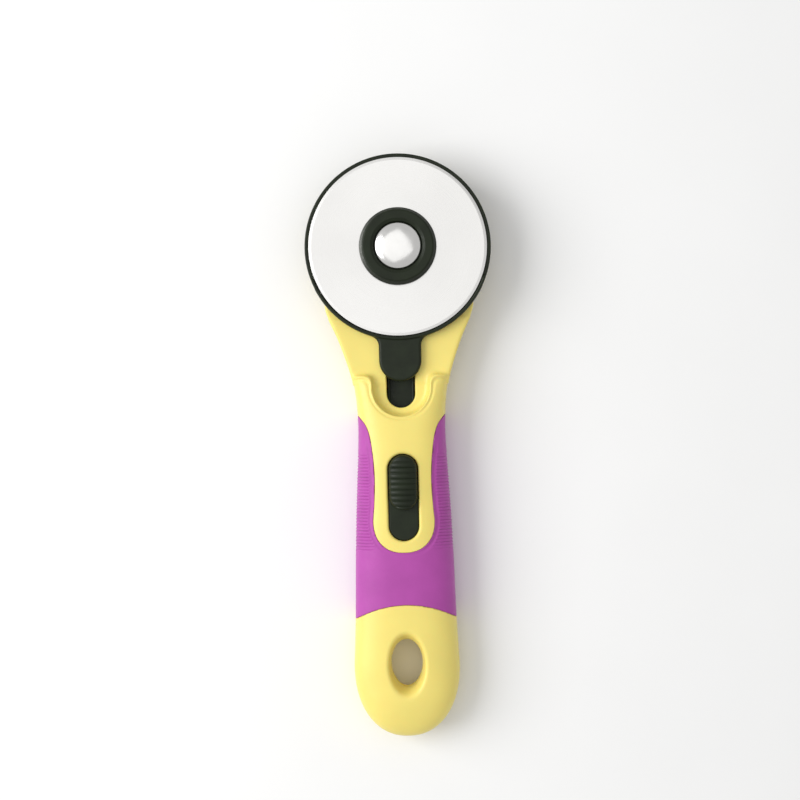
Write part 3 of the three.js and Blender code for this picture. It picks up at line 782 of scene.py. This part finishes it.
def make_bolt():
    """A domed head, a shank with two flats and a threaded end."""
    bottom, top = BOLT.z
    head_r, shank_r, thread_r = BOLT.x[1], 3.75, PIVOT_THREAD.bolt_r
    seat = COLLAR.z[0] + 1.7
    rim = COLLAR.z[1] - 0.75
    key_top, key_bottom, key_half = BLADE.z[0] - 0.3, 11, 3
    coarse, fine = 1.5, 0.1
    angles = np.linspace(0, np.pi / 2, 28)
    dome = np.stack([head_r * np.cos(angles), rim + (top - rim) * np.sin(angles)], 1)
    dome[-1, 0] = 0
    lower = rounded([
        (0, bottom, 0), (thread_r, bottom, 0.45), (thread_r, key_bottom, 0.1),
        (shank_r, key_bottom, 0.2), (shank_r, seat, 0.2), (head_r, seat, 0.25), (head_r, rim, 0)], 4)
    divided = []
    for a, b in zip(lower[:-1], lower[1:]):
        spacing = fine if max(a[0], b[0]) < key_half else coarse
        count = max(int(np.ceil(np.linalg.norm(b - a) / spacing)), 1)
        divided += [a + (b - a) * t for t in np.arange(count) / count]
    profile = np.concatenate([divided, dome])

    def bend(points, angle):
        z = points[:, :, 2]
        threaded = smooth_step(z, bottom + 0.3, bottom + 0.9) * (1 - smooth_step(z, 10, 10.6))
        height = thread(points[:, :, 0], points[:, :, 1], z, PIVOT_THREAD.pitch)
        relief = 0.28 * (1 - height) * threaded
        points[:, :, :2] *= (1 - relief / thread_r)[:, :, None]
        keyed = (z > key_bottom - 0.05) & (z < key_top)
        flattened = np.clip(points[:, :, 0], -key_half, key_half)
        points[:, :, 0] = np.where(keyed, flattened, points[:, :, 0])
        return points

    return lathe("pivot_bolt_domed", profile, 256, bend)


def make_washer():
    """A plain flat washer."""
    inner, outer = 3.3, WASHER.x[1]
    low, high = WASHER.z
    return lathe("thrust_washer", rounded([
        (inner, low, 0.12), (outer, low, 0.18), (outer, high, 0.18), (inner, high, 0.12)]), 160)


def make_wave_washer():
    """A thin washer with three waves round it."""
    inner, outer = 4.4, WAVE.x[1]
    low, high = 10.6, 11
    waves, height = 3, 0.3

    def bend(points, angle):
        points[:, :, 2] += height * np.sin(waves * angle)
        return points

    return lathe("wave_spring", rounded([
        (inner, low, 0.12), (outer, low, 0.12), (outer, high, 0.12), (inner, high, 0.12)]), 160, bend)


def make_spring():
    """A flat strip that rises to a rounded bump in its middle."""
    middle = SPRING.middle[1]
    half, half_length, half_thick = 3, 12, 0.2
    rise = through([(-12, 7.8), (-5, 8), (-2.6, 8.8), (-1.2, 10.3), (0, 10.68), (1.2, 10.3), (2.6, 8.8),
                    (5, 8), (12, 7.8)])

    def field(x, s, z):
        along = s - middle
        slope = (rise(along + NUDGE) - rise(along)) / NUDGE
        strip = np.abs(z - rise(along)) / np.sqrt(1 + slope**2) - half_thick
        ends = soft_max(np.abs(x) - half, np.abs(along) - half_length, 1)
        return soft_max(strip, ends, 0.12)

    along_s = graded((middle - 13, middle - 4, 0.35), (middle - 4, middle + 4, 0.12),
                     (middle + 4, middle + 13, 0.35))
    axes = (even(-half, half, 0.3), along_s, even(7.3, 11.1, 0.12))
    return from_field("detent_leaf", field, axes)


# ---------------------------------------------------------------- materials


def node(tree, kind, **values):
    """A shader node, its values set on its sockets or, where there is none, on itself."""
    made = tree.nodes.new("ShaderNode" + kind)
    for key, value in values.items():
        if key in made.inputs:
            made.inputs[key].default_value = value
        else:
            setattr(made, key, value)
    return made


def new_material(name, **values):
    """A material with a Principled shader whose even values are set on its own sockets."""
    made = bpy.data.materials.new(name)
    made.use_nodes = True
    tree = made.node_tree
    shader = tree.nodes["Principled BSDF"]
    for key, value in values.items():
        shader.inputs[key.replace("_", " ")].default_value = value
    made.diffuse_color = (*values.get("Base_Color", (0.5, 0.5, 0.5, 1))[:3], 1)
    return made, tree, shader


def noise(tree, scale, detail=3, roughness=0.5, stretch=None):
    """Noise in the piece's own coordinates; scale is in features for each millimetre."""
    source = node(tree, "TexCoord").outputs["Object"]
    if stretch:
        mapping = node(tree, "Mapping")
        mapping.inputs["Scale"].default_value = stretch
        tree.links.new(source, mapping.inputs["Vector"])
        source = mapping.outputs["Vector"]
    made = node(tree, "TexNoise", Scale=scale / MM, Detail=detail, Roughness=roughness)
    tree.links.new(source, made.inputs["Vector"])
    return made.outputs["Fac"]


def colours(tree, source, shader, stops):
    """Colours the shader by a source value through (place, colour) stops."""
    ramp = node(tree, "ValToRGB")
    while len(ramp.color_ramp.elements) < len(stops):
        ramp.color_ramp.elements.new(0.5)
    for element, (at, colour) in zip(ramp.color_ramp.elements, stops):
        element.position = at
        element.color = (*colour, 1)
    tree.links.new(source, ramp.inputs["Fac"])
    tree.links.new(ramp.outputs["Color"], shader.inputs["Base Color"])


def rough(tree, source, shader, low, high):
    """Roughness from low to high, over the part of a noise's range where most of it lies."""
    spread = node(tree, "MapRange", **{"From Min": 0.3, "From Max": 0.7, "To Min": low, "To Max": high})
    tree.links.new(source, spread.inputs["Value"])
    tree.links.new(spread.outputs["Result"], shader.inputs["Roughness"])


def bump(tree, shader, *layers):
    """Relief from (source, depth in millimetres) layers, one on another."""
    last = None
    for source, depth in layers:
        made = node(tree, "Bump", Strength=1.0, Distance=depth * MM)
        tree.links.new(source, made.inputs["Height"])
        if last:
            tree.links.new(last, made.inputs["Normal"])
        last = made.outputs["Normal"]
    tree.links.new(last, shader.inputs["Normal"])


def shade(base, factor):
    return tuple(channel * factor for channel in base)


def radius_from_axis(tree):
    """Distance from the blade's axis, in metres."""
    place = node(tree, "TexCoord")
    centred = node(tree, "VectorMath", operation="SUBTRACT")
    centred.inputs[1].default_value = (0, BLADE_Y * MM, 0)
    flat = node(tree, "VectorMath", operation="MULTIPLY")
    flat.inputs[1].default_value = (1, 1, 0)
    length = node(tree, "VectorMath", operation="LENGTH")
    tree.links.new(place.outputs["Object"], centred.inputs[0])
    tree.links.new(centred.outputs["Vector"], flat.inputs[0])
    tree.links.new(flat.outputs["Vector"], length.inputs[0])
    return length.outputs["Value"]


def turning_marks(tree, width):
    """Fine rings about the blade's axis, each about width millimetres across."""
    made = node(tree, "TexNoise", Detail=2.0, Roughness=0.6, noise_dimensions="1D")
    made.inputs["Scale"].default_value = 1 / (width * MM)
    tree.links.new(radius_from_axis(tree), made.inputs["W"])
    return made.outputs["Fac"]


def yellow_plastic():
    base = (0.91, 0.755, 0.20)
    made, tree, shader = new_material("yellow_plastic", Base_Color=(*base, 1), IOR=1.5,
                                      Subsurface_Weight=0.1, Subsurface_Scale=0.002,
                                      Specular_IOR_Level=0.4)
    colours(tree, noise(tree, 0.06, 4), shader, [(0.3, shade(base, 0.94)), (0.7, base)])
    rough(tree, noise(tree, 0.5, 4), shader, 0.30, 0.44)
    bump(tree, shader, (noise(tree, 0.35, 2), 0.010), (noise(tree, 3.5, 2), 0.004))
    return made


def violet_grip():
    base = (0.44, 0.071, 0.375)
    made, tree, shader = new_material("violet_grip", Base_Color=(*base, 1), IOR=1.5,
                                      Sheen_Weight=0.15, Sheen_Roughness=0.45,
                                      Specular_IOR_Level=0.35)
    colours(tree, noise(tree, 0.12, 4), shader, [(0.3, shade(base, 0.94)), (0.7, shade(base, 1.04))])
    rough(tree, noise(tree, 1.5, 3), shader, 0.48, 0.64)
    bump(tree, shader, (noise(tree, 0.8, 3), 0.012), (noise(tree, 6, 2), 0.008))
    return made


def black_plastic():
    base = (0.010, 0.015, 0.006)
    made, tree, shader = new_material("black_plastic", Base_Color=(*base, 1), IOR=1.5,
                                      Specular_IOR_Level=0.25)
    colours(tree, noise(tree, 0.2, 5), shader, [(0.3, shade(base, 0.75)), (0.7, shade(base, 1.25))])
    rough(tree, noise(tree, 1.2, 3), shader, 0.36, 0.52)
    bump(tree, shader, (noise(tree, 4, 3, 0.7), 0.016), (noise(tree, 0.5, 2), 0.008))
    return made


def blade_steel():
    base = (0.87, 0.86, 0.84)
    made, tree, shader = new_material("blade_steel", Base_Color=(*base, 1), Metallic=1.0,
                                      Anisotropic=0.3)
    rings = turning_marks(tree, 0.16)
    colours(tree, noise(tree, 0.05, 5), shader, [(0.3, shade(base, 0.95)), (0.7, base)])
    rough(tree, rings, shader, 0.24, 0.32)
    bump(tree, shader, (rings, 0.0002), (noise(tree, 1.5, 3, stretch=(1, 0.08, 1)), 0.0004))
    return made


def bolt_chrome():
    base = (0.93, 0.92, 0.9)
    made, tree, shader = new_material("bolt_chrome", Base_Color=(*base, 1), Metallic=1.0)
    colours(tree, noise(tree, 0.15, 4), shader, [(0.35, shade(base, 0.95)), (0.65, base)])
    rough(tree, noise(tree, 0.4, 4), shader, 0.15, 0.24)
    bump(tree, shader, (noise(tree, 0.2, 2), 0.03))
    return made


def plated_steel(name, base, low, high):
    made, tree, shader = new_material(name, Base_Color=(*base, 1), Metallic=1.0)
    colours(tree, noise(tree, 0.5, 5), shader, [(0.3, shade(base, 0.8)), (0.7, base)])
    rough(tree, noise(tree, 1.5, 4), shader, low, high)
    bump(tree, shader, (noise(tree, 3, 3, stretch=(1, 0.2, 1)), 0.004))
    return made


def turned_brass():
    base = (0.78, 0.55, 0.22)
    made, tree, shader = new_material("insert_brass", Base_Color=(*base, 1), Metallic=1.0)
    colours(tree, noise(tree, 0.4, 5), shader, [(0.3, shade(base, 0.75)), (0.7, base)])
    rings = turning_marks(tree, 0.2)
    rough(tree, rings, shader, 0.22, 0.4)
    bump(tree, shader, (rings, 0.003))
    return made


def floor_finish():
    base = (0.93, 0.93, 0.925)
    made, tree, shader = new_material("pale_floor", Base_Color=(*base, 1), IOR=1.45,
                                      Specular_IOR_Level=0.2)
    colours(tree, noise(tree, 0.02, 3), shader, [(0.3, shade(base, 0.985)), (0.7, base)])
    rough(tree, noise(tree, 0.3, 3), shader, 0.7, 0.85)
    bump(tree, shader, (noise(tree, 2, 2), 0.01))
    return made


# ---------------------------------------------------------------- putting the pieces in place

FINISHES = {
    "yellow_plastic": yellow_plastic(),
    "violet_grip": violet_grip(),
    "black_plastic": black_plastic(),
    "blade_steel": blade_steel(),
    "bolt_chrome": bolt_chrome(),
    "zinc_steel": plated_steel("zinc_steel", (0.7, 0.71, 0.72), 0.26, 0.42),
    "spring_steel": plated_steel("spring_steel", (0.56, 0.56, 0.58), 0.2, 0.34),
    "insert_brass": turned_brass(),
}


def place(piece, body, slot, cad_node):
    """Gives a piece its finish and its body, and lets it stand for a CAD node."""
    piece.data.materials.append(FINISHES[slot])
    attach(piece, body)
    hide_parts(cad_node)


def shell_axes(s_axis, z_low, z_high):
    """A shell's grid, finest across the slot and the window."""
    side = graded((-26, -12, 0.5), (-12, 12, 0.4), (12, 26, 0.5))
    return side, s_axis, even(z_low, z_high, 0.32)


def build_handle():
    front_s = graded((-20, 32, 0.65), (32, 60, 0.42), (60, 106, 0.5), (106, 126, 0.8),
                     (126, 154, 0.45), (154, TAIL_END + 0.8, 0.34))
    rear_s = graded((23, 60, 0.55), (60, 106, 0.6), (106, 126, 0.7), (126, 154, 0.45),
                    (154, TAIL_END + 0.8, 0.35))
    place(from_field("front_half", front_shell, shell_axes(front_s, *FRONT.z)),
          "handle", "yellow_plastic", "front_shell")
    place(from_field("rear_half", rear_shell, shell_axes(rear_s, *REAR.z)),
          "handle", "yellow_plastic", "rear_shell")
    grip_s = graded((54, 69, 0.4), (69, 103, 0.17), (103, 128, 0.45))
    side = even(FRONT_GRIP.x[0], FRONT_GRIP.x[1], 0.5)
    place(from_field("front_overmould", front_grip, (side, grip_s, even(FRONT.z[0], 19.4, 0.4))),
          "handle", "violet_grip", "front_grip")
    place(from_field("rear_overmould", rear_grip, (side, grip_s, even(0, REAR.z[1], 0.4))),
          "handle", "violet_grip", "rear_grip")
    place(from_field("slide_plate", slider_track, (
        even(*TRACK.x, 0.28), even(*TRACK.s, 0.3), even(*TRACK.z, 0.22))),
        "handle", "black_plastic", "slider_track")
    place(make_spring(), "handle", "spring_steel", "detent_spring")
    for i, screw in enumerate(CASE_SCREWS, 1):
        build_screw(f"shell_screw_{i}", screw, "handle", f"case_screw_{i}", CASE_SCREW.head, 0.9)


def build_screw(name, screw, body, cad_node, head, cross):
    """A screw whose head is so high and whose cross recess is so deep."""
    low, tip = screw.z
    head_r = screw.x[1] - screw.middle[0]
    shank_r = 1.1
    field = screw_field(head_r, low, low + head, shank_r, tip, cross)
    grid = (even(-head_r, head_r, 0.11), even(-head_r, head_r, 0.11), even(low, tip, 0.12))
    points, quads = surface_net(field, grid)
    points, normals = snap(field, points, 0.07)
    points = points + (*screw.middle, 0)
    place(make_object(name, points, quads, normals), body, "zinc_steel", cad_node)


def build_guard():
    circle = round_angles(480)
    radii = graded((7.6, 29, 0.5), (29, 33, 0.22), (33, 46.5, 0.4))
    place(from_field("guard_disc", blade_guard, (radii, circle, even(*GUARD.z, 0.18)), polar=True),
          "guard", "black_plastic", "blade_guard")
    place(from_field("guard_bar", slide_bar, (
        even(*BAR.x, 0.3), even(*BAR.s, 0.4), even(*BAR.z, 0.25))),
        "guard", "black_plastic", "slide_bar")
    place(from_field("ribbed_button", thumb_button, (
        even(*BUTTON.x, 0.2), even(*BUTTON.s, 0.16), even(*BUTTON.z, 0.2))),
        "guard", "black_plastic", "thumb_button")
    for i, screw in enumerate(GUARD_SCREWS, 1):
        build_screw(f"bar_screw_{i}", screw, "guard", f"guard_screw_{i}", 0.9, 0.5)


def build_pivot():
    place(make_blade(), "cutting_blade", "blade_steel", "blade")
    place(make_collar(), "handle", "black_plastic", "bolt_collar")
    place(make_bolt(), "handle", "bolt_chrome", "pivot_bolt")
    place(make_wave_washer(), "handle", "spring_steel", "wave_washer")
    place(make_washer(), "washer", "zinc_steel", "flat_washer")
    circle = round_angles(576)
    place(from_field("lobed_nut", tension_nut, (graded((3.6, 13, 0.26)), circle, even(*NUT.z, 0.24)),
                     polar=True), "nut", "black_plastic", "tension_nut")
    place(from_field("threaded_insert", nut_insert, (
        graded((2.8, 7.2, 0.14)), circle[::3], even(*INSERT.z, 0.1)), polar=True),
        "nut", "insert_brass", "nut_insert")


# ---------------------------------------------------------------- camera, floor and light


def add_area(name, place_mm, size_mm, watts):
    """A square white lamp that faces the middle of the handle."""
    lamp = bpy.data.lights.new(name, "AREA")
    lamp.energy = watts
    lamp.size = size_mm * MM
    holder = bpy.data.objects.new(name, lamp)
    bpy.context.scene.collection.objects.link(holder)
    holder.location = [v * MM for v in place_mm]
    aim = -holder.location.normalized()
    holder.rotation_euler = aim.to_track_quat("-Z", "Y").to_euler()


def add_camera():
    """Straight down over the handle, rolled a little, as in the photograph."""
    distance = 500
    view_width = 268.6
    look_x, look_s = -0.4, 51.6
    roll = -1.32
    data = bpy.data.cameras.new("camera")
    data.sensor_width = 36
    data.lens = data.sensor_width * distance / view_width
    data.clip_end = 10
    camera = bpy.data.objects.new("camera", data)
    camera.location = (look_x * MM, (BLADE_Y - look_s) * MM, (distance + BLADE.z[0]) * MM)
    camera.rotation_euler = (0, 0, math.radians(roll))
    bpy.context.scene.collection.objects.link(camera)
    bpy.context.scene.camera = camera


def add_floor():
    """A pale floor, a hair under the handle so that the two don't touch."""
    half, z = 3000, -0.05
    corners = [(x, BLADE_Y - y, z) for x, y in ((-half, -half), (half, -half), (half, half), (-half, half))]
    floor = make_object("floor", np.array(corners), [[0, 1, 2, 3]])
    floor.data.materials.append(floor_finish())


def light_scene():
    """A pale sky, a wide lamp overhead and a soft key lamp from the left."""
    world = bpy.data.worlds.new("studio")
    bpy.context.scene.world = world
    world.use_nodes = True
    sky = world.node_tree.nodes["Background"]
    sky.inputs["Color"].default_value = (1, 1, 1, 1)
    sky.inputs["Strength"].default_value = 0.54
    add_area("overhead", (-80, 120, 1100), 900, 1.35)
    add_area("key", (-760, 120, 620), 700, 7.8)
    bpy.context.scene.view_settings.view_transform = "Standard"


add_camera()
build_handle()
build_guard()
build_pivot()
add_floor()
light_scene()
